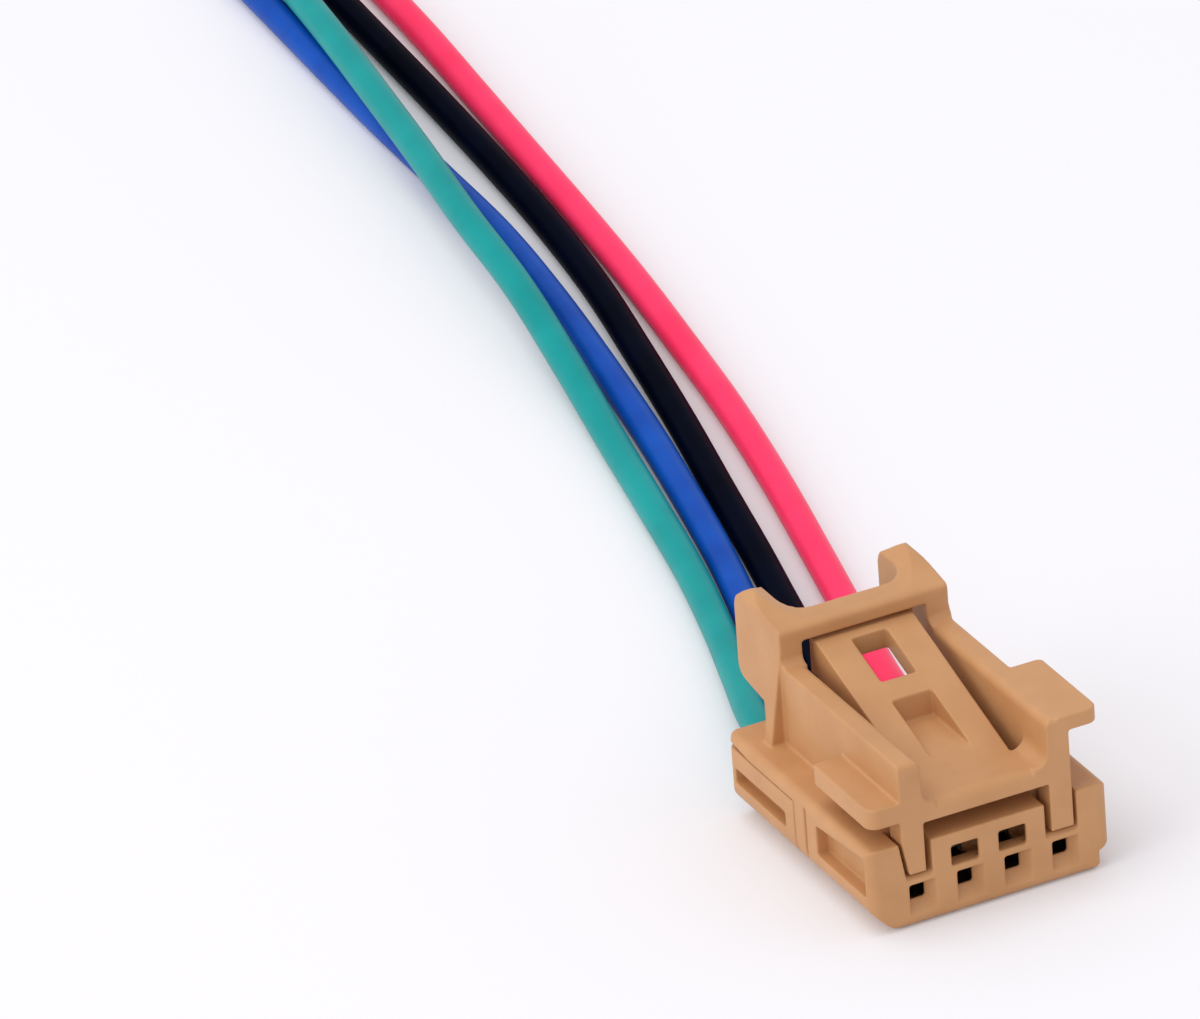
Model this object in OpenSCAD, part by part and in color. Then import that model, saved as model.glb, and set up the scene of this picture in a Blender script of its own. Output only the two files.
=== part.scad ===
// Four-way cable socket with a moulded latch frame, crimped contacts and short leads.
// x runs across the contacts, -y is the mating face, the leads leave towards +y, z is up.
// The origin lies under the middle of the moulding, on the surface that it stands on.

/* [Contacts] */
// Distance between neighbouring contacts
pitch = 2.5; // [2.5:0.05:2.8]
// Width of the square pin holes
pin_w = 0.96; // [0.8:0.02:1]
// Height of the pin axis above the bottom
pin_z = 1.73; // [1.7:0.01:1.76]
// Width of the contact's spring box
box_w = 1.5; // [1.3:0.05:1.6]
// Height of the contact's spring box
box_h = 1.5; // [1.4:0.02:1.54]
// Length of the contact's spring box
box_l = 3.6; // [3.2:0.1:3.8]
// Thickness of the contact's sheet
sheet = 0.15; // [0.12:0.01:0.18]
// Clearance between a contact and its chamber
contact_fit = 0.05; // [0.03:0.01:0.08]
// How far the contacts sit behind the front wall
contact_set = 1.4; // [1.35:0.05:1.5]

/* [Body] */
// Wall outside the outer contacts' pitch
side_wall = 1.35; // [1.25:0.05:1.5]
// Length of the body from the mating face to the rear face
body_l = 14.3; // [14:0.1:16]
// Height of the body without its latch frame
body_h = 4.5; // [4.4:0.05:5]
// Thickness of the front wall
front_wall = 0.6; // [0.55:0.05:0.7]
// Height of the step along the right side of the bottom
foot_h = 1; // [0.9:0.05:1.2]
// Width of the step along the right side of the bottom
foot_in = 0.65; // [0.4:0.05:0.7]
// Height of the bevel along the left side of the bottom
key_h = 1.38; // [1.2:0.02:1.5]
// Width of the bevel along the left side of the bottom
key_in = 1.35; // [1.1:0.05:1.45]
// Radius of the body's upright corners
corner_r = 0.6; // [0.3:0.05:0.65]
// Radius of the body's long edges
edge_r = 0.45; // [0.3:0.05:0.5]
// How far a pin hole's lead-in reaches beside the pin axis
lead_in_side = 0.95; // [0.7:0.05:1.1]
// How far a pin hole's lead-in reaches below the pin axis
lead_in_down = 1.15; // [0.8:0.05:1.2]
// Depth of a pin hole's lead-in
lead_in_d = 0.5; // [0.2:0.05:0.55]
// Width of the core windows above the inner pin holes
window_w = 1.44; // [1.2:0.02:1.5]
// Height of the core windows
window_h = 1.05; // [0.9:0.05:1.1]
// Height of the core windows' sill above the bottom
window_z = 2.56; // [2.55:0.01:2.6]

/* [Side pockets] */
// Depth of the pockets in both sides
pocket_d = 0.7; // [0.4:0.05:0.75]
// Length of the front pockets
front_pocket_l = 4.8; // [4:0.1:5.2]
// Distance from the mating face to the front pockets
front_pocket_y = 0.45; // [0.4:0.05:0.8]
// Height of the pockets' lower edge above the bottom
pocket_z = 2.05; // [1.8:0.05:2.1]
// Height of the front pockets at their rear end
front_pocket_h = 1.55; // [1.2:0.05:1.65]
// How far the front pockets' upper edge rises towards the front
front_pocket_rise = 0.45; // [0:0.05:0.5]
// Length of the retainer's pockets
rear_pocket_l = 5.1; // [4:0.1:5.3]
// Height of the retainer's pockets
rear_pocket_h = 0.8; // [0.6:0.02:1]

/* [Latch frame] */
// Clear distance between the two rails
rail_gap = 6.6; // [6.4:0.05:6.7]
// Width of a rail
rail_w = 1.18; // [1:0.01:1.2]
// Height of the rails above the body
rail_h = 4.05; // [3.9:0.05:4.4]
// Distance from the mating face to where the rails join the body
root_y = 3.2; // [2.8:0.1:4]
// Depth of the legs at the rails' front ends
leg_l = 1.3; // [1:0.1:1.5]
// Height of the leg slots' floor above the bottom
slot_z = 2.62; // [2.58:0.01:2.7]
// Gap between a leg and its slot on the inner side
slot_in = 0.32; // [0.2:0.01:0.4]
// Gap between a leg and its slot on the outer side
slot_out = 0.17; // [0.12:0.01:0.2]
// Gap between a leg's end and the slot's floor
leg_gap = 0.14; // [0.1:0.01:0.2]
// How much the left leg narrows towards its end
leg_taper = 0.3; // [0:0.02:0.35]
// Gap between the body and the latch plate
slit_h = 0.76; // [0.6:0.02:0.9]
// How far the body's top is lowered under the latch plate
front_drop = 0.22; // [0.1:0.02:0.3]
// Thickness of the latch plate at its front
plate_t = 0.95; // [0.8:0.05:1.1]
// Length of the latch plate in front of the tongue's side gaps
plate_l = 2.4; // [2:0.1:2.4]
// Distance from the mating face to where the tongue starts to rise
ramp_y = 2.5; // [2.4:0.1:3]
// Width of the latch tongue
tongue_w = 5.2; // [4.8:0.05:5.4]
// Thickness of the tongue at its free end
tongue_t = 1.9; // [1.5:0.05:2]
// Thickness of the tongue between its side ribs
web_t = 1.05; // [0.9:0.05:1.15]
// Width of the tongue's side ribs
rib_w = 0.6; // [0.4:0.05:0.7]
// How far the tongue reaches under the arch
tongue_under = 0.7; // [0.5:0.1:1]
// Gap between the tongue's end and the arch
tongue_gap = 0.22; // [0.15:0.01:0.4]
// Width of the window in the tongue
eye_w = 1.84; // [1.5:0.02:2.2]
// Length of the window in the tongue
eye_l = 2.9; // [2.4:0.1:3.2]
// Distance from the window to the arch
eye_end = 0.4; // [0.3:0.05:0.6]
// Width of the catch notch in the tongue
catch_w = 2.1; // [1.8:0.05:2.4]
// Distance from the mating face to the catch notch's rear wall
catch_y = 7.15; // [6.4:0.05:7.3]
// Height of the catch notch's floor above the latch plate
catch_up = 0.25; // [0.15:0.05:0.4]

/* [Wings] */
// Length of the guide wings along the rails
wing_l = 5.7; // [5:0.1:6.2]
// How far the wings stand out from the rails
wing_out = 1.62; // [1.2:0.02:1.7]
// Height of the low wing's underside above the body
wing_z = 1.1; // [0.9:0.05:1.4]
// Thickness of the low wing
wing_low_t = 1.03; // [0.8:0.01:1.2]
// Thickness of the high wing, flush with its rail
wing_high_t = 0.78; // [0.6:0.02:1]
// Radius of the wings' outer front corners
wing_r = 0.6; // [0.3:0.05:0.8]
// Radius of the wings' outer rear corners
wing_tail_r = 0.3; // [0.1:0.05:0.5]

/* [Arch] */
// Distance from the body's rear face to the arch's front face
arch_set = 2.6; // [2.4:0.1:2.8]
// Height of the arch's opening above the rails
arch_gap = 1; // [0.9:0.02:1.2]
// Thickness of the arch's bar
bar_t = 0.8; // [0.6:0.05:1]
// Depth of the arch's bar from front to rear
bar_l = 1.6; // [1.4:0.1:2]
// Height of the horns above the bar
horn_h = 0.65; // [0.4:0.05:0.8]
// How far the horns reach past the body's rear face
horn_over = 2.1; // [1.8:0.1:2.4]
// Thickness of the horns
horn_t = 1.35; // [1.2:0.05:1.45]
// Thickness of the arch's posts and cheeks
post_w = 1.2; // [1.1:0.05:1.4]
// How far the posts' ribs stand out at their feet
flare = 0.8; // [0.4:0.05:1]
// Thickness of the posts' ribs from front to rear
flare_l = 0.8; // [0.6:0.05:1.2]

/* [Retainer] */
// Length of the retainer under the rear of the body
retainer_l = 6.85; // [6.4:0.05:7]
// Thickness of the retainer's floor
retainer_floor = 0.75; // [0.6:0.05:0.75]
// Thickness of the retainer's sides
retainer_side = 0.92; // [0.8:0.02:0.95]
// Height of the retainer's sides
retainer_h = 3.85; // [3.6:0.05:3.9]
// Gap between the retainer and the body
retainer_fit = 0.05; // [0.04:0.01:0.08]
// Extra gap above the retainer's sides at the rear face
retainer_sag = 0.3; // [0.1:0.01:0.32]
// Length of the part of that gap that widens towards the rear face
retainer_sag_l = 2.4; // [1.5:0.1:4]

/* [Leads] */
// Outer diameter of the leads
wire_d = 1.6; // [1.4:0.05:1.62]
// Diameter of the stranded conductor
core_d = 0.9; // [0.8:0.02:0.92]
// Height of the leads' axis where they leave the body
wire_z = 1.9; // [1.88:0.01:1.95]

/* [Hidden] */
$fn = 32;
ways = 4;
// How far cuts reach past the surfaces that they open
eps = 0.5;
// How far joined shapes reach into each other
lap = 0.1;

// Body
body_w = ways * pitch + 2 * side_wall;
overall_l = body_l + horn_over;
contact_x = [for (i = [0 : ways - 1]) (i - (ways - 1) / 2) * pitch];
retainer_y = body_l - retainer_l;
retainer_in = body_w / 2 - retainer_side;
rear_pocket_end = 0.7;
foot_r = 0.25;
key_blend = 0.6;
toe_r = 0.5;
foot_rise = 0.26;
seam_w = 0.2;
seam_set = 1.2;

// Latch frame
rail_in = rail_gap / 2;
rail_out = rail_in + rail_w;
rail_top = body_h + rail_h;
plate_z = body_h + slit_h;
plate_top = plate_z + plate_t;
plate_r = 0.55;
sill_h = 0.2;
sill_d = 0.25;
plate_fillet = 0.7;
rail_r = 0.4;
rail_nose_r = 0.3;
leg_z = slot_z + leg_gap;
slot_l = leg_l + slot_in;
catch_z = plate_top + catch_up;
catch_lean = 0.1;
catch_back = 0.5;

// Arch and tongue
arch_y = body_l - arch_set;
bar_z = rail_top + arch_gap;
bar_top = bar_z + bar_t;
horn_top = bar_top + horn_h;
tongue_top = bar_z - tongue_gap;
tongue_slope = (tongue_top - plate_top) / (arch_y - ramp_y);
saddle_flat = 2.3;
saddle_r = 2.5;
arch_fillet = 0.45;
shoulder_h = 0.24;
cheek_r = 1.1;
horn_r = 0.55;
throat_r = 1.3;
bar_r = 0.3;
flare_up = 0.7;
crown_l = 0.3;
crown_drop = 0.2;
heel_r = 0.75;
heel_drop = 2.75;
neck_h = 1.25;
neck_y = body_l - edge_r;

// Contacts, along y from the mating face
box_y = front_wall + contact_set;
box_end = box_y + box_l;
stop_y = box_y - contact_fit;
box_z = pin_z - box_h / 2;
leaf_w = 0.8;
leaf_t = 0.12;
leaf_drop = 0.34;
leaf_bend = 1.6;
leaf_tip = 0.5;
strip_w = 0.7;
strip_l = 1.55;
neck_w = 0.5;
neck_l = 0.7;
grip_play = 0.02;
core_grip_r = core_d / 2 + grip_play;
core_grip_y = box_end + strip_l;
core_grip_l = 2;
core_end = core_grip_y + core_grip_l;
lead_grip_r = wire_d / 2 + grip_play;
lead_grip_y = core_end + neck_l;
lead_grip_l = 1.8;
lead_end = lead_grip_y + lead_grip_l;
crimp_seam = 0.08;
core_tail = 0.2;
lead_tail = 0.15;
core_start = core_grip_y - core_tail;
lead_start = lead_grip_y - lead_tail;

// Chambers, lances and stop prongs
chamber_w = 2 * (lead_grip_r + sheet + contact_fit) + grip_play;
chamber_top = wire_z + chamber_w / 2;
lance_y = box_end + 2 * contact_fit;
lance_l = 3.4;
lance_w = 1;
lance_tip = 0.5;
lance_bite = 0.25;
lance_root = 0.6;
lance_waist = 1.1;
room_set = 0.6;
room_w = 2.5;
window_wall = 0.25;
window_sill = 0.9;
prong_w = 0.3;
prong_l = 0.35;
prong_in = 0.05;
prong_x = lead_grip_r - prong_in;
prong_gap = 0.12;
prong_drop = 0.62;

// Free routes of the leads: across and along from the exit, and height above the surface
lead_sides = 8;
route_green = [
    [0.8, 3, 1.8], [1.6, 6, 1.5], [2.9, 10, 1.15], [4.45, 15, 0.9], [6.05, 21, 0.8],
    [7.55, 28, 0.8], [9.15, 36, 0.85], [10.6, 44, 1.4], [11.85, 52, 2.1], [12.8, 60, 2.45],
    [14.1, 68, 2.45], [15.3, 76, 2.45], [16.45, 84, 2.45], [17.6, 92, 2.1], [18.7, 100, 1.3],
    [19.55, 108, 0.8], [20, 113, 0.8], [20.4, 118, 0.8]
];
route_blue = [
    [0.45, 3, 1.8], [1.1, 6, 1.5], [2.2, 10, 1.15], [3.7, 15, 0.9], [5.35, 21, 0.8],
    [6.95, 28, 0.8], [8.6, 36, 0.8], [10, 44, 0.8], [11.25, 52, 0.8], [12.2, 60, 0.8],
    [12.6, 68, 0.8], [12.95, 76, 0.8], [13.45, 84, 0.8], [14, 92, 0.8], [14.5, 100, 0.8],
    [15.05, 108, 0.8], [15.4, 113, 0.8], [15.75, 118, 0.8]
];
route_black = [
    [0.35, 3, 1.8], [0.95, 6, 1.5], [2, 10, 1.15], [3.2, 15, 0.9], [4.65, 21, 0.8],
    [6.2, 28, 0.8], [8, 36, 0.8], [9.65, 44, 0.8], [11.2, 52, 0.8], [12.35, 60, 0.8],
    [13.2, 68, 0.8], [13.9, 76, 0.8], [14.5, 84, 0.8], [15.1, 92, 0.8], [15.75, 100, 0.8],
    [16.45, 108, 0.8], [16.9, 113, 0.8], [17.35, 118, 0.8]
];
route_red = [
    [0.5, 3, 1.8], [1.2, 6, 1.5], [2.25, 10, 1.15], [3.55, 15, 0.9], [5, 21, 0.8],
    [6.6, 28, 0.8], [8.2, 36, 0.8], [9.5, 44, 0.8], [10.7, 52, 0.8], [11.7, 60, 0.8],
    [12.6, 68, 0.8], [13.5, 76, 0.8], [14.4, 84, 0.8], [15.1, 92, 0.8], [15.9, 100, 0.8],
    [16.6, 108, 0.8], [17, 113, 0.8], [17.4, 118, 0.8]
];
routes = [route_green, route_blue, route_black, route_red];

tan_plastic = "#c69a6b";
tin = "#c9c7c1";
copper = "#c97a4e";

// Places what is drawn from the mating face on the part's own origin
module in_place() {
    translate([0, -overall_l / 2, 0]) children();
}

// Draws a y-z outline as a solid from x0 to x1
module along_x(x0, x1) {
    translate([x0, 0, 0]) rotate([90, 0, 90]) linear_extrude(x1 - x0) children();
}

// Draws an x-z outline as a solid from y0 to y1
module along_y(y0, y1) {
    translate([0, y1, 0]) rotate([90, 0, 0]) linear_extrude(y1 - y0) children();
}

// Draws a shape on both sides of the middle plane
module both_sides() {
    children();
    mirror([1, 0, 0]) children();
}

// A box between two corners
module block(low, high) {
    translate(low) cube(high - low);
}

// A rectangle between two corners with round corners
module rounded(x0, y0, x1, y1, r) {
    translate([x0 + r, y0]) square([x1 - x0 - 2 * r, y1 - y0]);
    translate([x0, y0 + r]) square([x1 - x0, y1 - y0 - 2 * r]);
    for (x = [x0 + r, x1 - r], y = [y0 + r, y1 - r]) translate([x, y]) circle(r);
}

// Points of an arc around a centre
function arc(c, r, from, to, steps = 6) =
    [for (i = [0 : steps]) let (a = from + (to - from) * i / steps) c + r * [cos(a), sin(a)]];

// Points of a round blend at corner b, between points a and c on its two sides
function blend(a, b, c, steps = 5) =
    [for (i = [0 : steps]) let (t = i / steps) (1 - t) * (1 - t) * a + 2 * t * (1 - t) * b + t * t * c];

// Front outline of the body: bevelled at the lower left, stepped at the lower right
function body_outline() = let (
        half = body_w / 2,
        foot = half - foot_in,
        high = [-half, key_h],
        low = [key_in - half, 0],
        slope = key_blend * unit(low - high)
    ) concat(
        blend(low - slope, low, low + [key_blend, 0]),
        arc([foot - foot_r, foot_r], foot_r, 270, 360),
        [[foot, foot_h], [half, foot_h + foot_rise]],
        arc([half - edge_r, body_h - edge_r], edge_r, 0, 90),
        arc([edge_r - half, body_h - edge_r], edge_r, 90, 180),
        blend(high + [0, key_blend], high, high + slope)
    );

// The body's outer form, with a round lower front edge
module body_form() {
    intersection() {
        linear_extrude(body_h) rounded(-body_w / 2, 0, body_w / 2, body_l, corner_r);
        along_y(-eps, body_l + eps) polygon(body_outline());
        along_x(-body_w, body_w) polygon(concat(
            arc([toe_r, toe_r], toe_r, 180, 270),
            [[body_l + eps, 0], [body_l + eps, body_h + eps], [0, body_h + eps]]
        ));
    }
}

// The space that the retainer takes, with a gap all round
module retainer_space(gap) {
    y0 = retainer_y + retainer_fit - gap;
    y1 = body_l + eps;
    block([-body_w, y0, -eps], [body_w, y1, retainer_floor + gap]);
    both_sides() block([retainer_in - gap, y0, -eps], [body_w, y1, retainer_h + gap]);
}

// The wedge of room above the retainer's sides, widest at the rear face
module retainer_slack() {
    y0 = body_l - retainer_sag_l;
    both_sides() along_x(retainer_in - retainer_fit, body_w) polygon([
        [y0, retainer_h], [body_l + eps, retainer_h],
        [body_l + eps, retainer_h + retainer_sag], [body_l, retainer_h + retainer_sag],
        [y0, retainer_h + retainer_fit]
    ]);
}

// One contact chamber with its pin hole and lead-in
module chamber(x) {
    box_half = box_w / 2 + contact_fit;
    translate([x, 0, 0]) {
        block([-box_half, front_wall, box_z - contact_fit], [box_half, box_y, pin_z + pin_w / 2]);
        block([-box_half, stop_y, box_z - contact_fit],
              [box_half, core_grip_y, box_z + box_h + contact_fit]);
        block([-chamber_w / 2, lance_y + room_set, chamber_top - chamber_w],
              [chamber_w / 2, body_l + eps, chamber_top]);
        block([-chamber_w / 2, retainer_y, 0], [chamber_w / 2, body_l + eps, chamber_top]);
        block([-pin_w / 2, -eps, pin_z - pin_w / 2],
              [pin_w / 2, front_wall + eps, pin_z + pin_w / 2]);
        lead_in();
    }
}

// The core windows above the inner pin holes, and the room behind them that the lances flex in
module lance_room() {
    top = window_z + window_h;
    inner = contact_x[ways - 2] + room_w / 2;
    outer = contact_x[ways - 1] + room_w / 2;
    for (i = [1 : ways - 2]) translate([contact_x[i], 0, 0])
        block([-window_w / 2, -eps, window_z], [window_w / 2, front_wall, top]);
    block([-inner, window_wall, window_z], [inner, stop_y, top]);
    block([-inner, window_sill, pin_z + pin_w / 2 - lap], [inner, stop_y + lap, top]);
    block([-outer, stop_y, box_z + box_h], [outer, lance_y + lance_l - lance_root, top]);
}

// A lead-in that slopes down to the pin hole from below and from one side
module lead_in() {
    slim = pin_w / 2;
    across = [[-slim, 0], [lead_in_side, 0], [slim, lead_in_d], [-slim, lead_in_d]];
    upright = [[0, -lead_in_down], [lead_in_d, -slim], [lead_in_d, slim], [0, slim]];
    translate([0, 0, pin_z]) intersection() {
        translate([0, 0, -lead_in_down]) linear_extrude(2 * lead_in_down) polygon(across);
        along_x(-lead_in_side, lead_in_side) polygon(upright);
    }
}

// The springy tooth that locks a contact from behind
module lance(x) {
    tip = box_z + box_h - lance_bite;
    clear = wire_z + core_grip_r + sheet + contact_fit;
    translate([x, 0, 0]) along_x(-lance_w / 2, lance_w / 2) polygon([
        [lance_y, tip], [lance_y, tip + lance_tip], [lance_y + lance_l, chamber_top + lap],
        [lance_y + lance_l, chamber_top], [lance_y + lance_waist, clear]
    ]);
}

// The pocket in each side of the front half
module front_pocket() {
    y1 = front_pocket_y + front_pocket_l;
    top = pocket_z + front_pocket_h;
    both_sides() along_x(body_w / 2 - pocket_d, body_w) polygon([
        [front_pocket_y, pocket_z], [y1, pocket_z], [y1, top],
        [front_pocket_y, top + front_pocket_rise]
    ]);
}

// The fine upright seam on each side, ahead of the retainer
module side_seam() {
    y = retainer_y - seam_set;
    both_sides() block([body_w / 2 - seam_w, y, foot_h + edge_r],
                       [body_w, y + seam_w, body_h - edge_r]);
}

// Front outline of the left leg below the rail, or of its slot with the gaps given
function leg_outline(inner, outer, taper, low, high) = [
        [-rail_in + inner, low], [-rail_in + inner, high],
        [-rail_out - outer, high], [-rail_out - outer, body_h], [taper - rail_out - outer, low]
    ];

// The slots in the front face that the legs hang in, with bevelled sills
module leg_slots() {
    top = body_h + eps;
    along_y(-eps, slot_l) polygon(leg_outline(slot_in, slot_out, leg_taper, slot_z, top));
    mirror([1, 0, 0]) along_y(-eps, slot_l)
        polygon(leg_outline(slot_in, slot_out, 0, slot_z, top));
    sill = [[-eps, slot_z - sill_h], [0, slot_z - sill_h], [sill_d, slot_z], [sill_d, slot_z + lap],
            [-eps, slot_z + lap]];
    along_x(leg_taper - rail_out - slot_out, slot_in - rail_in) polygon(sill);
    along_x(rail_in - slot_in, rail_out + slot_out) polygon(sill);
}

// The lowered part of the body's top under the latch plate
module front_step() {
    half = rail_in - slot_in + lap;
    block([-half, -eps, body_h - front_drop], [half, root_y, body_h + eps]);
}

// The rails with their legs and guide wings
module rails() {
    difference() {
        union() {
            both_sides() along_x(rail_in, rail_out) polygon(concat(
                [[0, plate_z]],
                arc([rail_nose_r, rail_top - rail_nose_r], rail_nose_r, 180, 90),
                arc([arch_y - arch_fillet, rail_top + arch_fillet], arch_fillet, 270, 360),
                [[arch_y + eps, rail_top + arch_fillet], [arch_y + eps, body_h - eps],
                 [root_y, body_h - eps], [root_y, body_h + slit_h / 2],
                 [root_y - slit_h / 2, plate_z]]
            ));
            along_y(0, leg_l) polygon(leg_outline(0, 0, leg_taper, leg_z, plate_top));
            mirror([1, 0, 0]) along_y(0, leg_l) polygon(leg_outline(0, 0, 0, leg_z, plate_top));
        }
        rail_rounding();
    }
    wing(wing_low_t, body_h + wing_z);
    mirror([1, 0, 0]) wing(wing_high_t, rail_top - wing_high_t);
}

// What is taken off the rails' upper inner edges to make them round
module rail_rounding() {
    both_sides() along_y(-eps, arch_y - arch_fillet) polygon(concat(
        [[rail_in - lap, rail_top - rail_r], [rail_in - lap, rail_top + lap],
         [rail_in + rail_r, rail_top + lap]],
        arc([rail_in + rail_r, rail_top - rail_r], rail_r, 90, 180)
    ));
}

// A guide wing on the left rail, with round outer corners
module wing(t, z) {
    side = -rail_out - wing_out;
    root = -rail_in - rail_w / 2;
    translate([0, 0, z]) linear_extrude(t) {
        translate([side, wing_r]) square([root - side, wing_l - wing_r - wing_tail_r]);
        translate([side + wing_r, 0]) square([root - side - wing_r, wing_l]);
        translate([side + wing_r, wing_r]) circle(wing_r);
        translate([side + wing_tail_r, wing_l - wing_tail_r]) {
            circle(wing_tail_r);
            square([wing_r, wing_tail_r]);
        }
    }
}

// Height of the tongue's top at a distance from the mating face
function tongue_z(y) = plate_top + tongue_slope * max(0, y - ramp_y);

// The latch plate and its sloping tongue, with the window and the catch notch
module tongue() {
    end_y = arch_y + tongue_under;
    eye_y = arch_y - eye_end - eye_l;
    thin_y = eye_y + eye_l / 2;
    thick_y = catch_y + catch_back;
    half = rail_in + rail_w / 2;
    web_half = tongue_w / 2 - rib_w;
    web_y = eye_y - rib_w / 2;
    outline = concat(
        [[0, plate_z]],
        arc([plate_r, plate_top - plate_r], plate_r, 180, 90),
        [[ramp_y, plate_top], [arch_y, tongue_top], [end_y, tongue_top],
         [end_y, tongue_top - tongue_t], [arch_y, tongue_top - tongue_t],
         [thin_y, tongue_z(thin_y) - tongue_t], [thick_y, catch_z - plate_t], [plate_l, plate_z]]
    );
    difference() {
        along_x(-half, half) polygon(outline);
        both_sides() block([tongue_w / 2, plate_l, body_h], [half + eps, body_l, horn_top]);
        block([-eye_w / 2, eye_y, body_h], [eye_w / 2, eye_y + eye_l, horn_top]);
        along_x(-web_half, web_half) polygon([
            [web_y, body_h], [web_y, tongue_z(web_y) - web_t], [arch_y, tongue_top - web_t],
            [end_y + eps, tongue_top - web_t], [end_y + eps, body_h]
        ]);
        along_x(-catch_w / 2, catch_w / 2) polygon([
            [ramp_y, catch_z], [catch_y - catch_lean, catch_z], [catch_y, tongue_z(catch_y)],
            [catch_y, horn_top], [ramp_y, horn_top]
        ]);
    }
}

// The hollow fillets between the latch plate and the rails
module plate_fillets() {
    corner = [rail_in - plate_fillet, plate_top + plate_fillet];
    both_sides() along_y(0, plate_l) polygon(concat(
        [[rail_in + lap, plate_top - plate_r], [rail_in + lap, plate_top + plate_fillet]],
        arc(corner, plate_fillet, 360, 270),
        [[rail_in - plate_fillet, plate_top - plate_r]]
    ));
}

// Side outline of the arch's cheeks and horns
function cheek_outline() = let (
        crown = [overall_l - cheek_r, horn_top - cheek_r]
    ) concat(
        [[arch_y, body_h - eps]],
        arc([arch_y + bar_r, bar_top - bar_r], bar_r, 180, 90),
        [[arch_y + bar_l, bar_top + shoulder_h]],
        arc(crown - [crown_l, 0], cheek_r, 100, 45),
        arc(crown - [0, crown_drop], cheek_r, 40, 0),
        arc([overall_l - heel_r, bar_z - heel_drop], heel_r, 0, -75),
        [[neck_y, body_h + neck_h], [neck_y, body_h - eps]]
    );

// Rear outline of the arch: a bar with a saddle between the horns
function saddle_outline() = let (
        c = [saddle_flat, bar_top + saddle_r],
        curve = arc(c, saddle_r, 270, 330, 8),
        half = [for (p = curve) if (p[0] < rail_out - horn_r && p[1] < horn_top) p]
    ) concat(
        [[-rail_out, bar_z], [rail_out, bar_z]],
        arc([rail_out - horn_r, horn_top - horn_r], horn_r, 0, 90),
        [for (i = [len(half) - 1 : -1 : 0]) half[i]],
        [for (p = half) [-p[0], p[1]]],
        arc([horn_r - rail_out, horn_top - horn_r], horn_r, 90, 180)
    );

// The arch behind the tongue: posts, cheeks, bar and horns
module arch() {
    inner = rail_out - horn_t;
    cheek = rail_out - post_w;
    difference() {
        intersection() {
            along_x(-rail_out, rail_out) polygon(cheek_outline());
            union() {
                along_y(arch_y, overall_l) polygon(saddle_outline());
                both_sides() block([cheek, arch_y, 0], [rail_out, overall_l, bar_z + lap]);
                both_sides() block([inner, arch_y + bar_l, 0], [rail_out, overall_l, bar_z + lap]);
            }
        }
        translate([0, 0, body_h]) linear_extrude(horn_top)
            rounded(-inner, arch_y + bar_l, inner, overall_l + 2 * throat_r, throat_r);
    }
    both_sides() along_y(arch_y, arch_y + flare_l) polygon([
        [rail_out - lap, rail_top + flare_up], [rail_out, rail_top + flare_up],
        [rail_out + flare, body_h - lap], [rail_out - lap, body_h - lap]
    ]);
}

module housing() {
    color(tan_plastic) in_place() {
        difference() {
            body_form();
            retainer_space(retainer_fit);
            retainer_slack();
            for (x = contact_x) chamber(x);
            lance_room();
            front_pocket();
            side_seam();
            leg_slots();
            front_step();
        }
        for (x = contact_x) lance(x);
        rails();
        tongue();
        plate_fillets();
        arch();
    }
}

// The prongs that stop one contact from backing out
module stop_prongs(x) {
    y = lead_end + prong_gap;
    for (s = [-1, 1]) translate([x + s * prong_x, 0, 0])
        block([-prong_w / 2, y, retainer_floor / 2],
              [prong_w / 2, y + prong_l, wire_z - prong_drop]);
}

module retainer() {
    pocket_y = body_l - rear_pocket_end;
    color(tan_plastic) in_place() {
        difference() {
            intersection() {
                body_form();
                retainer_space(0);
            }
            both_sides() block([body_w / 2 - pocket_d, pocket_y - rear_pocket_l, pocket_z],
                               [body_w, pocket_y, pocket_z + rear_pocket_h]);
        }
        for (x = contact_x) stop_prongs(x);
    }
}

// A rolled crimp around the lead's axis, with its seam on top
module crimp(y, length, bore) {
    along_y(y, y + length) translate([0, wire_z]) difference() {
        circle(bore + sheet);
        circle(bore);
        translate([-crimp_seam / 2, 0]) square([crimp_seam, 2 * bore]);
    }
}

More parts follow.
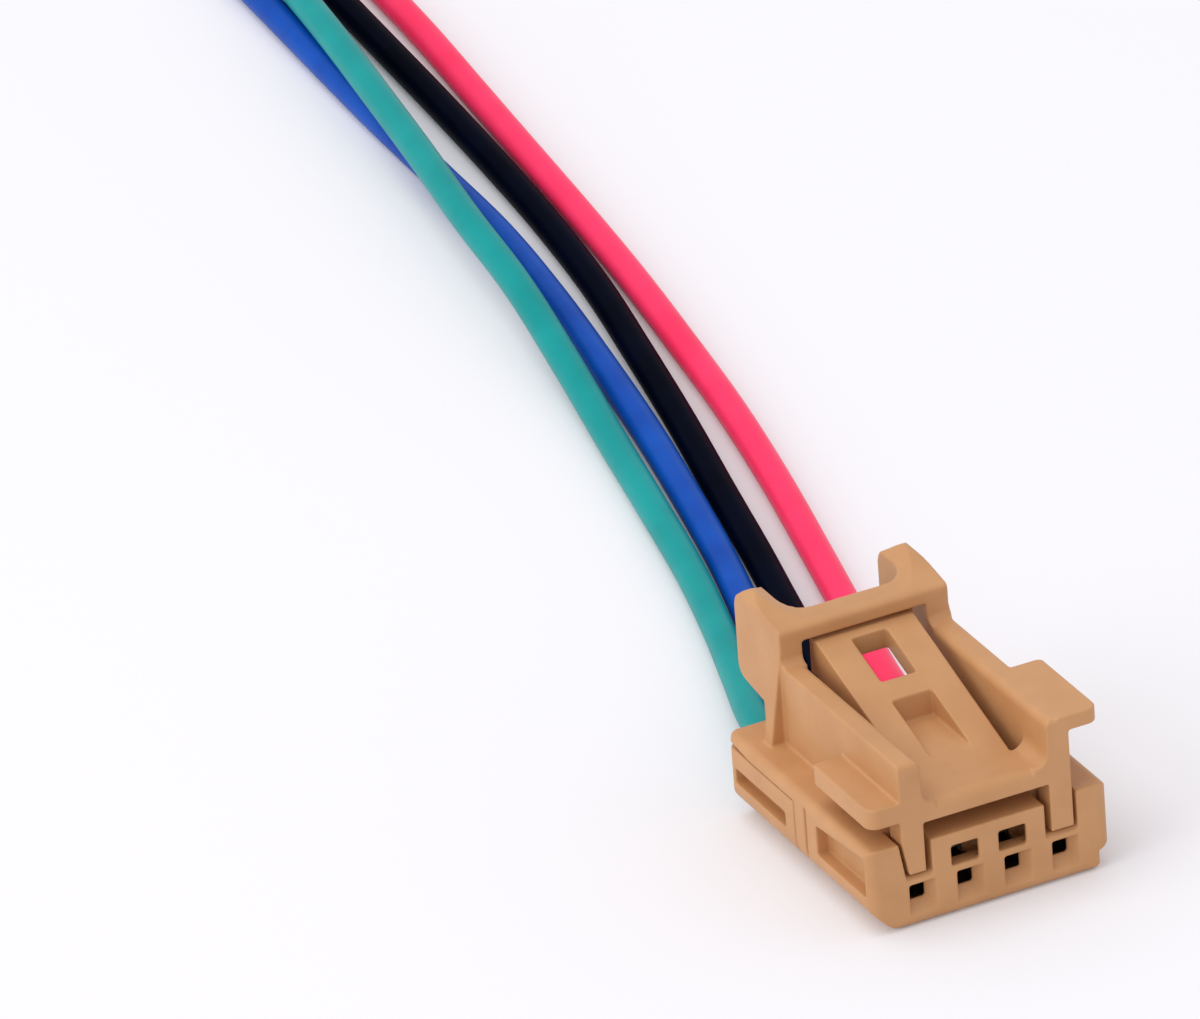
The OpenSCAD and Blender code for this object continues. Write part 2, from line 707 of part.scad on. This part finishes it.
// One folded contact: open scoop, spring box, spring leaf, strip and the two crimps
module terminal(i) {
    inner_w = box_w - 2 * sheet;
    floor_z = box_z + sheet;
    bend = [box_end - leaf_bend, pin_z - leaf_drop];
    tip = [box_y + leaf_tip, floor_z + sheet / 2];
    core_z = wire_z - core_grip_r - sheet;
    lead_z = wire_z - lead_grip_r - sheet;
    scoop_y = front_wall + contact_fit;
    scoop_top = pin_z + pin_w / 2 - contact_fit;
    color(tin) in_place() translate([contact_x[i], 0, 0]) {
        difference() {
            block([-box_w / 2, box_y, box_z], [box_w / 2, box_end, box_z + box_h]);
            block([-inner_w / 2, box_y - eps, floor_z],
                  [inner_w / 2, box_end + eps, box_z + box_h - sheet]);
        }
        difference() {
            block([-box_w / 2, scoop_y, box_z], [box_w / 2, box_y + lap, scoop_top]);
            block([-inner_w / 2, scoop_y - eps, floor_z], [inner_w / 2, box_y + eps, scoop_top + eps]);
        }
        along_x(-leaf_w / 2, leaf_w / 2) polygon([
            [box_end, floor_z - sheet / 2], bend - [0, leaf_t], tip,
            tip + [0, leaf_t], bend, [box_end, floor_z + sheet / 2]
        ]);
        along_x(-strip_w / 2, strip_w / 2) polygon([
            [box_end - lap, box_z], [box_end + lap, box_z], [core_grip_y + lap, core_z],
            [core_grip_y + lap, core_z + sheet], [box_end + lap, floor_z], [box_end - lap, floor_z]
        ]);
        crimp(core_grip_y, core_grip_l, core_grip_r);
        along_x(-neck_w / 2, neck_w / 2) polygon([
            [core_end - lap, core_z], [core_end, core_z], [lead_start, lead_z],
            [lead_grip_y + lap, lead_z], [lead_grip_y + lap, lead_z + sheet],
            [lead_start, lead_z + sheet], [core_end, core_z + sheet], [core_end - lap, core_z + sheet]
        ]);
        crimp(lead_grip_y, lead_grip_l, lead_grip_r);
    }
}

// A lead's whole route: straight out of its chamber, then its free points
function path(i, start, points) = concat(
    [[contact_x[i], start, wire_z], [contact_x[i], body_l, wire_z]],
    [for (k = [0 : points - 1]) let (p = routes[i][k]) [contact_x[i] + p[0], body_l + p[1], p[2]]]
);
function unit(v) = v / norm(v);
function heading(p, i) =
    i == 0 ? unit(p[1] - p[0])
    : i == len(p) - 1 ? unit(p[i] - p[i - 1])
    : unit(unit(p[i + 1] - p[i]) + unit(p[i] - p[i - 1]));

// One ring of points around the route
function ring(p, i, r) = let (
        t = heading(p, i),
        s = unit(cross(t, [0, 0, 1])),
        n = cross(s, t)
    ) [for (k = [0 : lead_sides - 1]) let (a = 360 * k / lead_sides) p[i] + r * (cos(a) * s + sin(a) * n)];

// Faces between neighbouring rings, from point number o on
function skin(count, o) = [
    for (i = [0 : count - 2], k = [0 : lead_sides - 1])
        let (a = o + i * lead_sides + k, b = o + i * lead_sides + (k + 1) % lead_sides)
            each [[a, b, b + lead_sides], [a, b + lead_sides, a + lead_sides]]
];
function turned(faces) = [for (f = faces) [f[2], f[1], f[0]]];

// Faces of the ring-shaped end between the outer points o and the inner points q
function rim(o, q) = [
    for (k = [0 : lead_sides - 1]) let (m = (k + 1) % lead_sides)
        each [[o + m, o + k, q + k], [o + m, q + k, q + m]]
];

// The insulation: a tube along the route
module lead(i, tint) {
    p = path(i, lead_start, len(routes[i]) - 1);
    n = len(p);
    bore = core_d / 2 + grip_play;
    outer = [for (k = [0 : n - 1]) each ring(p, k, wire_d / 2)];
    inner = [for (k = [0 : n - 1]) each ring(p, k, bore)];
    q = n * lead_sides;
    last = (n - 1) * lead_sides;
    color(tint) in_place() polyhedron(
        concat(outer, inner),
        concat(skin(n, 0), turned(skin(n, q)), rim(0, q), turned(rim(last, q + last)))
    );
}

// The stranded conductor, from its crimp to the stripped end
module core(i) {
    p = path(i, core_start, len(routes[i]));
    n = len(p);
    points = [for (k = [0 : n - 1]) each ring(p, k, core_d / 2)];
    first = [for (k = [lead_sides - 1 : -1 : 0]) k];
    last = [for (k = [0 : lead_sides - 1]) (n - 1) * lead_sides + k];
    color(copper) in_place() polyhedron(points, concat(skin(n, 0), [first, last]));
}

module terminal_1() { terminal(0); }
module terminal_2() { terminal(1); }
module terminal_3() { terminal(2); }
module terminal_4() { terminal(3); }
module lead_green() { lead(0, "#159a8c"); }
module lead_blue() { lead(1, "#1b49c8"); }
module lead_black() { lead(2, "#0b1020"); }
module lead_red() { lead(3, "#f5365f"); }
module core_green() { core(0); }
module core_blue() { core(1); }
module core_black() { core(2); }
module core_red() { core(3); }

housing();
retainer();
terminal_1();
terminal_2();
terminal_3();
terminal_4();
lead_green();
lead_blue();
lead_black();
lead_red();
core_green();
core_blue();
core_black();
core_red();
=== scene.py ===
import math

import bpy
from mathutils import Matrix, Vector


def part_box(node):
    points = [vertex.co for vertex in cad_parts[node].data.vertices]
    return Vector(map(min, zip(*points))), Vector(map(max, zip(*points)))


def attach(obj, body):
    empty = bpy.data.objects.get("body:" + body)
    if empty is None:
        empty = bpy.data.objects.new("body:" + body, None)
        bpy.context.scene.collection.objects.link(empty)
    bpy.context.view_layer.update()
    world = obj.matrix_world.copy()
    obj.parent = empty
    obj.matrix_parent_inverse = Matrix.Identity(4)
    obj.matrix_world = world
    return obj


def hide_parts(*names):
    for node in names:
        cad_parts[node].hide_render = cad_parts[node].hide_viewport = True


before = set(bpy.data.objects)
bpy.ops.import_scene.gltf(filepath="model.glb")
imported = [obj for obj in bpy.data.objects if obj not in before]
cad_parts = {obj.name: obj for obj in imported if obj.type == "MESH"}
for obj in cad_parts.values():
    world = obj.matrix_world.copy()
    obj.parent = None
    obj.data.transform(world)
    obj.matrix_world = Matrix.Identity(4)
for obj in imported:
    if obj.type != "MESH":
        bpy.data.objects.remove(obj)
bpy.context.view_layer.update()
scene = bpy.context.scene
MM = 0.001

# Camera, at the photograph's viewing angle
SENSOR = 36
LENS = 385.4
CLIP_NEAR = 0.01
CLIP_FAR = 10
CAMERA_AT = Vector((-0.229872, -0.475024, 0.293005))
CAMERA_RIGHT = Vector((0.892819, -0.444847, -0.070611))
CAMERA_UP = Vector((0.262506, 0.386517, 0.884135))

# Leads: sizes, and free routes in millimetres. A route's points are across and along from the exit,
# with the height above the surface. The insulation stops short of the last STRIPPED_POINTS of them.
LEAD_D = 1.6 * MM
CORE_D = 0.9 * MM
BORE_D = 0.94 * MM
EXIT_Z = 1.9 * MM
STRIPPED_POINTS = 1
ROUTES = {
    "green": [
        (0.8, 3, 1.8), (1.6, 6, 1.5), (2.9, 10, 1.15), (4.45, 15, 0.9), (6.05, 21, 0.8),
        (7.55, 28, 0.8), (9.15, 36, 0.85), (10.6, 44, 1.4), (11.85, 52, 2.1), (12.8, 60, 2.45),
        (14.1, 68, 2.45), (15.3, 76, 2.45), (16.45, 84, 2.45), (17.6, 92, 2.1), (18.7, 100, 1.3),
        (19.55, 108, 0.8), (20, 113, 0.8), (20.4, 118, 0.8),
    ],
    "blue": [
        (0.45, 3, 1.8), (1.1, 6, 1.5), (2.2, 10, 1.15), (3.7, 15, 0.9), (5.35, 21, 0.8),
        (6.95, 28, 0.8), (8.6, 36, 0.8), (10, 44, 0.8), (11.25, 52, 0.8), (12.2, 60, 0.8),
        (12.6, 68, 0.8), (12.95, 76, 0.8), (13.45, 84, 0.8), (14, 92, 0.8), (14.5, 100, 0.8),
        (15.05, 108, 0.8), (15.4, 113, 0.8), (15.75, 118, 0.8),
    ],
    "black": [
        (0.35, 3, 1.8), (0.95, 6, 1.5), (2, 10, 1.15), (3.2, 15, 0.9), (4.65, 21, 0.8),
        (6.2, 28, 0.8), (8, 36, 0.8), (9.65, 44, 0.8), (11.2, 52, 0.8), (12.35, 60, 0.8),
        (13.2, 68, 0.8), (13.9, 76, 0.8), (14.5, 84, 0.8), (15.1, 92, 0.8), (15.75, 100, 0.8),
        (16.45, 108, 0.8), (16.9, 113, 0.8), (17.35, 118, 0.8),
    ],
    "red": [
        (0.5, 3, 1.8), (1.2, 6, 1.5), (2.25, 10, 1.15), (3.55, 15, 0.9), (5, 21, 0.8),
        (6.6, 28, 0.8), (8.2, 36, 0.8), (9.5, 44, 0.8), (10.7, 52, 0.8), (11.7, 60, 0.8),
        (12.6, 68, 0.8), (13.5, 76, 0.8), (14.4, 84, 0.8), (15.1, 92, 0.8), (15.9, 100, 0.8),
        (16.6, 108, 0.8), (17, 113, 0.8), (17.4, 118, 0.8),
    ],
}

# Meshes of the leads and their strands, which lie three across
LEAD_STEP = 0.6 * MM
FEWEST_STEPS = 2
LEAD_SIDES = 28
LEAD_EDGE = 0.06 * MM
STRANDS = 7
STRAND_D = CORE_D / 3
STRAND_SIDES = 8
STRAND_LAY = 11 * MM

# Moulded surfaces: grid size in millimetres, softening, and share of the faces kept
VOXEL = 0.06
SOFTEN_FACTOR = 0.5
SOFTEN_STEPS = 5
MOULDING_SHARE = 0.2

# Colours, linear, each with its darker shade
TAN = (0.565, 0.292, 0.124)
TAN_DEEP = (0.51, 0.254, 0.102)
# The contacts' tin is set far darker than bright tin, as painted shade for their place deep in the
# housing
TIN_DARKENED_AS_PAINTED_SHADE = (0.3, 0.285, 0.26)
TIN_DULL_DARKENED_AS_PAINTED_SHADE = (0.16, 0.14, 0.115)
COPPER = (0.86, 0.42, 0.26)
COPPER_DULL = (0.55, 0.22, 0.12)
INSULATION = {
    "green": ((0.006, 0.31, 0.3), (0.004, 0.27, 0.26)),
    "blue": ((0.003, 0.078, 0.43), (0.002, 0.058, 0.36)),
    "black": ((0.001, 0.002, 0.009), (0.0006, 0.0012, 0.005)),
    "red": ((0.98, 0.04, 0.135), (0.94, 0.03, 0.11)),
}

# Noise patterns, and the levels of the first three between which the colour changes
FLOW = {"scale": 420, "detail": 4}
CLOUD = {"scale": 260, "detail": 2}
TARNISH = {"scale": 900, "detail": 4}
GRAIN = {"scale": 9000, "detail": 2}
STREAKS = {"scale": 2600, "detail": 3}
STREAK_STRETCH = (1, 0.08, 1)
DRAWING_MARKS = {"scale": 12000, "detail": 2}
FLOW_LEVELS = (0.3, 0.7)
CLOUD_LEVELS = (0.35, 0.65)
TARNISH_LEVELS = (0.35, 0.7)

# Gloss and fine relief
TAN_ROUGHNESS = (0.42, 0.58)
INSULATION_ROUGHNESS = (0.3, 0.44)
COPPER_ROUGHNESS = (0.22, 0.38)
TIN_ROUGHNESS = (0.3, 0.46)
TAN_SHEEN = 0.42
INSULATION_SHEEN = {"green": 0.08, "blue": 0.06, "black": 0.007, "red": 0.08}
GRAIN_RELIEF = {"depth": 0.006 * MM, "strength": 0.35}
STREAK_RELIEF = {"depth": 0.01 * MM, "strength": 0.3}
MARK_RELIEF = {"depth": 0.004 * MM, "strength": 0.3}

# Floor and light
FLOOR_SIZE = 6.0
FLOOR_COLOUR = (0.86, 0.86, 0.87, 1)
FLOOR_ROUGHNESS = 0.9
BACKDROP = (0.985, 0.985, 1.0, 1)
BACKDROP_SHARE = 0.1
WORLD_COLOUR = (0.99, 0.97, 1.02, 1)
WORLD_LEVEL = 0.8
LIGHT_TARGET = Vector((0.0, 0.0, 0.005))
LIGHTS = {
    "key": {"at": Vector((-0.25, 0.05, 0.75)), "size": 0.7, "power": 2.0},
    "fill": {"at": Vector((-0.7, -0.1, 0.35)), "size": 0.6, "power": 1.5},
}


def add_camera():
    data = bpy.data.cameras.new("camera")
    data.sensor_width = SENSOR
    data.lens = LENS
    data.clip_start = CLIP_NEAR
    data.clip_end = CLIP_FAR
    camera = bpy.data.objects.new("camera", data)
    back = CAMERA_RIGHT.cross(CAMERA_UP)
    turn = Matrix((CAMERA_RIGHT, CAMERA_UP, back)).transposed()
    camera.matrix_world = Matrix.Translation(CAMERA_AT) @ turn.to_4x4()
    scene.collection.objects.link(camera)
    scene.camera = camera


def shade_smooth(mesh):
    mesh.polygons.foreach_set("use_smooth", [True] * len(mesh.polygons))


def add_mesh(name, vertices, faces):
    mesh = bpy.data.meshes.new(name)
    mesh.from_pydata([tuple(vertex) for vertex in vertices], [], faces)
    mesh.validate()
    shade_smooth(mesh)
    piece = bpy.data.objects.new(name, mesh)
    scene.collection.objects.link(piece)
    return piece


def curve_point(start, leave, end, arrive, share):
    """The point at a share of the way along a curve with a given slope at each end."""
    square = share**2
    cube = share**3
    return (
        (2 * cube - 3 * square + 1) * start + (cube - 2 * square + share) * leave
        + (3 * square - 2 * cube) * end + (cube - square) * arrive
    )


def slope_at(before, point, after, span_before, span_after):
    """The slope of a smooth curve at a point between two others."""
    first = (point - before) / span_before
    both = (after - before) / (span_before + span_after)
    second = (after - point) / span_after
    return first - both + second


def smooth_line(points, step):
    """Points about every step along a curve that passes through the given points."""
    padded = [2 * points[0] - points[1], *points, 2 * points[-1] - points[-2]]
    line = []
    for before, start, end, after in zip(padded, padded[1:], padded[2:], padded[3:]):
        span_before = math.sqrt((start - before).length)
        span = math.sqrt((end - start).length)
        span_after = math.sqrt((after - end).length)
        leave = slope_at(before, start, end, span_before, span) * span
        arrive = slope_at(start, end, after, span, span_after) * span
        count = max(FEWEST_STEPS, round((end - start).length / step))
        for number in range(count):
            line.append(curve_point(start, leave, end, arrive, number / count))
    return [*line, points[-1]]


def frames_along(line):
    """The two directions across the line at each of its points, without twist."""
    tangents = [(after - before).normalized() for before, after in zip(line, line[1:])]
    tangents.append(tangents[-1])
    side = tangents[0].cross(Vector((0, 0, 1))).normalized()
    found = []
    for tangent in tangents:
        side = (side - side.dot(tangent) * tangent).normalized()
        found.append((side, side.cross(tangent)))
    return found


def around(centre, across, radius, angle):
    """The point at an angle on a circle across a line."""
    side, up = across
    return centre + radius * (math.cos(angle) * side + math.sin(angle) * up)


def ring(centre, across, radius, sides):
    angles = [math.tau * number / sides for number in range(sides)]
    return [around(centre, across, radius, angle) for angle in angles]


def skin(rings, sides, closed=False):
    """Quads between neighbouring rings; a closed skin joins the last ring to the first."""
    faces = []
    for number in range(rings if closed else rings - 1):
        here = number * sides
        there = (number + 1) % rings * sides
        for corner in range(sides):
            beside = (corner + 1) % sides
            faces.append((here + corner, here + beside, there + beside, there + corner))
    return faces


def add_tube(name, line, outer_r, bore_r):
    """A tube with a bore and softly broken outer end edges."""
    across = frames_along(line)
    last = len(line) - 1
    vertices = []
    for number, centre in enumerate(line):
        radius = outer_r - LEAD_EDGE if number in (0, last) else outer_r
        vertices += ring(centre, across[number], radius, LEAD_SIDES)
    for number in range(last, -1, -1):
        vertices += ring(line[number], across[number], bore_r, LEAD_SIDES)
    return add_mesh(name, vertices, skin(2 * len(line), LEAD_SIDES, closed=True))


def add_strands(name, line):
    """A twisted bundle: one strand in the middle and the others wound around it."""
    across = frames_along(line)
    vertices = []
    faces = []
    run = [0.0]
    for before, after in zip(line, line[1:]):
        run.append(run[-1] + (after - before).length)
    for strand in range(STRANDS):
        offset = STRAND_D if strand else 0.0
        start = math.tau * strand / (STRANDS - 1)
        path = []
        for centre, directions, along in zip(line, across, run):
            path.append(around(centre, directions, offset, start + math.tau * along / STRAND_LAY))
        first = len(vertices)
        for centre, directions in zip(path, frames_along(path)):
            vertices += ring(centre, directions, STRAND_D / 2, STRAND_SIDES)
        for face in skin(len(path), STRAND_SIDES):
            faces.append(tuple(first + corner for corner in face))
        last = len(vertices) - STRAND_SIDES
        faces.append(tuple(range(first + STRAND_SIDES - 1, first - 1, -1)))
        faces.append(tuple(range(last, last + STRAND_SIDES)))
    return add_mesh(name, vertices, faces)


def resting(line):
    """A lead's axis, nowhere lower than that of a lead lying on the surface."""
    return [Vector((point.x, point.y, max(point.z, LEAD_D / 2))) for point in line]


def add_leads():
    """The four leads, each with its bundle of strands."""
    exit_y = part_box("retainer")[1].y
    leads = {}
    for number, (colour, route) in enumerate(ROUTES.items(), 1):
        low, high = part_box(f"terminal_{number}")
        x = (low.x + high.x) / 2
        leave = Vector((x, exit_y, EXIT_Z))
        free = []
        for across, along, height in route:
            free.append(leave + Vector((across * MM, along * MM, height * MM - EXIT_Z)))
        lead_start = Vector((x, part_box(f"lead_{colour}")[0].y, EXIT_Z))
        core_start = Vector((x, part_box(f"core_{colour}")[0].y, EXIT_Z))
        covered = resting(smooth_line([lead_start, leave, *free[:-STRIPPED_POINTS]], LEAD_STEP))
        whole = resting(smooth_line([core_start, leave, *free], LEAD_STEP))
        strands = add_strands(f"strands_{colour}", whole)
        lead = add_tube(f"insulation_{colour}", covered, LEAD_D / 2, BORE_D / 2)
        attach(strands, "root")
        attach(lead, "root")
        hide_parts(f"core_{colour}")
        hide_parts(f"lead_{colour}")
        leads[colour] = (lead, strands)
    return leads


def add_moulding(name, node):
    """A copy of a moulded solid with every edge and corner softened as a mould leaves it."""
    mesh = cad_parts[node].data.copy()
    mesh.materials.clear()
    mesh.transform(Matrix.Scale(1 / MM, 4))
    piece = bpy.data.objects.new(name, mesh)
    scene.collection.objects.link(piece)
    remesh = piece.modifiers.new("remesh", "REMESH")
    remesh.mode = "VOXEL"
    remesh.voxel_size = VOXEL
    soften = piece.modifiers.new("soften", "SMOOTH")
    soften.factor = SOFTEN_FACTOR
    soften.iterations = SOFTEN_STEPS
    thin = piece.modifiers.new("thin", "DECIMATE")
    thin.ratio = MOULDING_SHARE
    done = bpy.data.meshes.new_from_object(
        piece.evaluated_get(bpy.context.evaluated_depsgraph_get())
    )
    done.name = name
    done.transform(Matrix.Scale(MM, 4))
    shade_smooth(done)
    piece.modifiers.clear()
    piece.data = done
    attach(piece, "root")
    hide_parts(node)
    return piece


def new_material(name):
    material = bpy.data.materials.new(name)
    material.use_nodes = True
    tree = material.node_tree
    return material, tree, tree.nodes["Principled BSDF"]


def add_node(tree, kind, **inputs):
    node = tree.nodes.new(kind)
    for key, value in inputs.items():
        node.inputs[key.replace("_", " ")].default_value = value
    return node


def object_position(tree):
    return tree.nodes.new("ShaderNodeTexCoord").outputs["Object"]


def noise_at(tree, where, scale, detail):
    node = add_node(tree, "ShaderNodeTexNoise", Scale=scale, Detail=detail)
    tree.links.new(where, node.inputs["Vector"])
    return node.outputs["Fac"]


def vary_colour(tree, shader, factor, levels, shades):
    """Goes from the first shade to the second between two levels of a noise."""
    ramp = tree.nodes.new("ShaderNodeValToRGB")
    for stop, level, shade in zip(ramp.color_ramp.elements, levels, shades):
        stop.position = level
        stop.color = (*shade, 1)
    tree.links.new(factor, ramp.inputs["Fac"])
    tree.links.new(ramp.outputs["Color"], shader.inputs["Base Color"])


def vary_roughness(tree, shader, factor, span):
    low, high = span
    node = add_node(tree, "ShaderNodeMapRange", To_Min=low, To_Max=high)
    tree.links.new(factor, node.inputs["Value"])
    tree.links.new(node.outputs["Result"], shader.inputs["Roughness"])


def add_bump(tree, shader, height, depth, strength):
    bump = add_node(tree, "ShaderNodeBump", Strength=strength, Distance=depth)
    tree.links.new(height, bump.inputs["Height"])
    tree.links.new(bump.outputs["Normal"], shader.inputs["Normal"])


def moulded_plastic():
    """Satin tan plastic: faint flow mottling and a fine spark-eroded grain."""
    material, tree, shader = new_material("moulded_tan")
    where = object_position(tree)
    flow = noise_at(tree, where, **FLOW)
    grain = noise_at(tree, where, **GRAIN)
    vary_colour(tree, shader, flow, FLOW_LEVELS, (TAN, TAN_DEEP))
    vary_roughness(tree, shader, grain, TAN_ROUGHNESS)
    shader.inputs["Specular IOR Level"].default_value = TAN_SHEEN
    add_bump(tree, shader, grain, **GRAIN_RELIEF)
    return material


def insulation(colour):
    """Smooth extruded insulation with faint die streaks and uneven gloss."""
    material, tree, shader = new_material(f"pvc_{colour}")
    where = object_position(tree)
    stretch = add_node(tree, "ShaderNodeMapping", Scale=STREAK_STRETCH)
    tree.links.new(where, stretch.inputs["Vector"])
    streaks = noise_at(tree, stretch.outputs["Vector"], **STREAKS)
    cloud = noise_at(tree, where, **CLOUD)
    vary_colour(tree, shader, cloud, CLOUD_LEVELS, INSULATION[colour])
    vary_roughness(tree, shader, streaks, INSULATION_ROUGHNESS)
    shader.inputs["Specular IOR Level"].default_value = INSULATION_SHEEN[colour]
    add_bump(tree, shader, streaks, **STREAK_RELIEF)
    return material


def drawn_metal(name, bright, dull, roughness):
    """Metal with darker tarnish and fine drawing marks; the contacts' tin shades are set dark as
    painted shade.
    """
    material, tree, shader = new_material(name)
    where = object_position(tree)
    tarnish = noise_at(tree, where, **TARNISH)
    marks = noise_at(tree, where, **DRAWING_MARKS)
    vary_colour(tree, shader, tarnish, TARNISH_LEVELS, (bright, dull))
    vary_roughness(tree, shader, marks, roughness)
    shader.inputs["Metallic"].default_value = 1.0
    add_bump(tree, shader, marks, **MARK_RELIEF)
    return material


def add_math(tree, operation, first):
    """A two-value operation whose first value is linked."""
    node = tree.nodes.new("ShaderNodeMath")
    node.operation = operation
    tree.links.new(first, node.inputs[0])
    return node


def seen_directly(tree):
    """1 for what the camera, a reflection or a clear material sees, 0 for light that bounces."""
    path = tree.nodes.new("ShaderNodeLightPath")
    seen = path.outputs["Is Camera Ray"]
    for key in ("Is Glossy Ray", "Is Transmission Ray"):
        either = add_math(tree, "MAXIMUM", seen)
        tree.links.new(path.outputs[key], either.inputs[1])
        seen = either.outputs[0]
    return seen


def add_floor():
    """A matt white surface with a faint glow of its own."""
    half = FLOOR_SIZE / 2
    corners = [(-half, -half, 0), (half, -half, 0), (half, half, 0), (-half, half, 0)]
    floor = add_mesh("floor", corners, [(0, 1, 2, 3)])
    material, tree, shader = new_material("floor")
    shader.inputs["Base Color"].default_value = FLOOR_COLOUR
    shader.inputs["Roughness"].default_value = FLOOR_ROUGHNESS
    shader.inputs["Specular IOR Level"].default_value = 0.0
    glow = add_node(tree, "ShaderNodeEmission", Color=BACKDROP, Strength=1.0)
    share = add_math(tree, "MULTIPLY", seen_directly(tree))
    share.inputs[1].default_value = BACKDROP_SHARE
    mix = tree.nodes.new("ShaderNodeMixShader")
    tree.links.new(share.outputs[0], mix.inputs["Fac"])
    tree.links.new(shader.outputs["BSDF"], mix.inputs[1])
    tree.links.new(glow.outputs["Emission"], mix.inputs[2])
    tree.links.new(mix.outputs["Shader"], tree.nodes["Material Output"].inputs["Surface"])
    floor.data.materials.append(material)


def add_area(name, at, size, power):
    data = bpy.data.lights.new(name, "AREA")
    data.shape = "DISK"
    data.size = size
    data.energy = power
    lamp = bpy.data.objects.new(name, data)
    lamp.location = at
    lamp.rotation_euler = (LIGHT_TARGET - at).to_track_quat("-Z", "Y").to_euler()
    scene.collection.objects.link(lamp)


def add_light():
    world = bpy.data.worlds.new("studio")
    world.use_nodes = True
    background = world.node_tree.nodes["Background"]
    background.inputs["Color"].default_value = WORLD_COLOUR
    background.inputs["Strength"].default_value = WORLD_LEVEL
    scene.world = world
    for name, values in LIGHTS.items():
        add_area(name, **values)


def paint(piece, material):
    piece.data.materials.clear()
    piece.data.materials.append(material)


def main():
    scene.view_settings.view_transform = "Standard"
    add_camera()
    leads = add_leads()
    tan = moulded_plastic()
    paint(add_moulding("housing_shell", "housing"), tan)
    paint(add_moulding("retainer_clip", "retainer"), tan)
    copper = drawn_metal("bare_copper", COPPER, COPPER_DULL, COPPER_ROUGHNESS)
    # Tin for the contacts, painted dark as painted shade
    painted_shade_tin = drawn_metal("tinned_contact_painted_shade", TIN_DARKENED_AS_PAINTED_SHADE, TIN_DULL_DARKENED_AS_PAINTED_SHADE, TIN_ROUGHNESS)
    for colour, (lead, strands) in leads.items():
        paint(lead, insulation(colour))
        paint(strands, copper)
    for number in range(1, len(leads) + 1):
        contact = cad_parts[f"terminal_{number}"]
        for place in contact.material_slots:
            place.material = painted_shade_tin
    add_floor()
    add_light()


main()
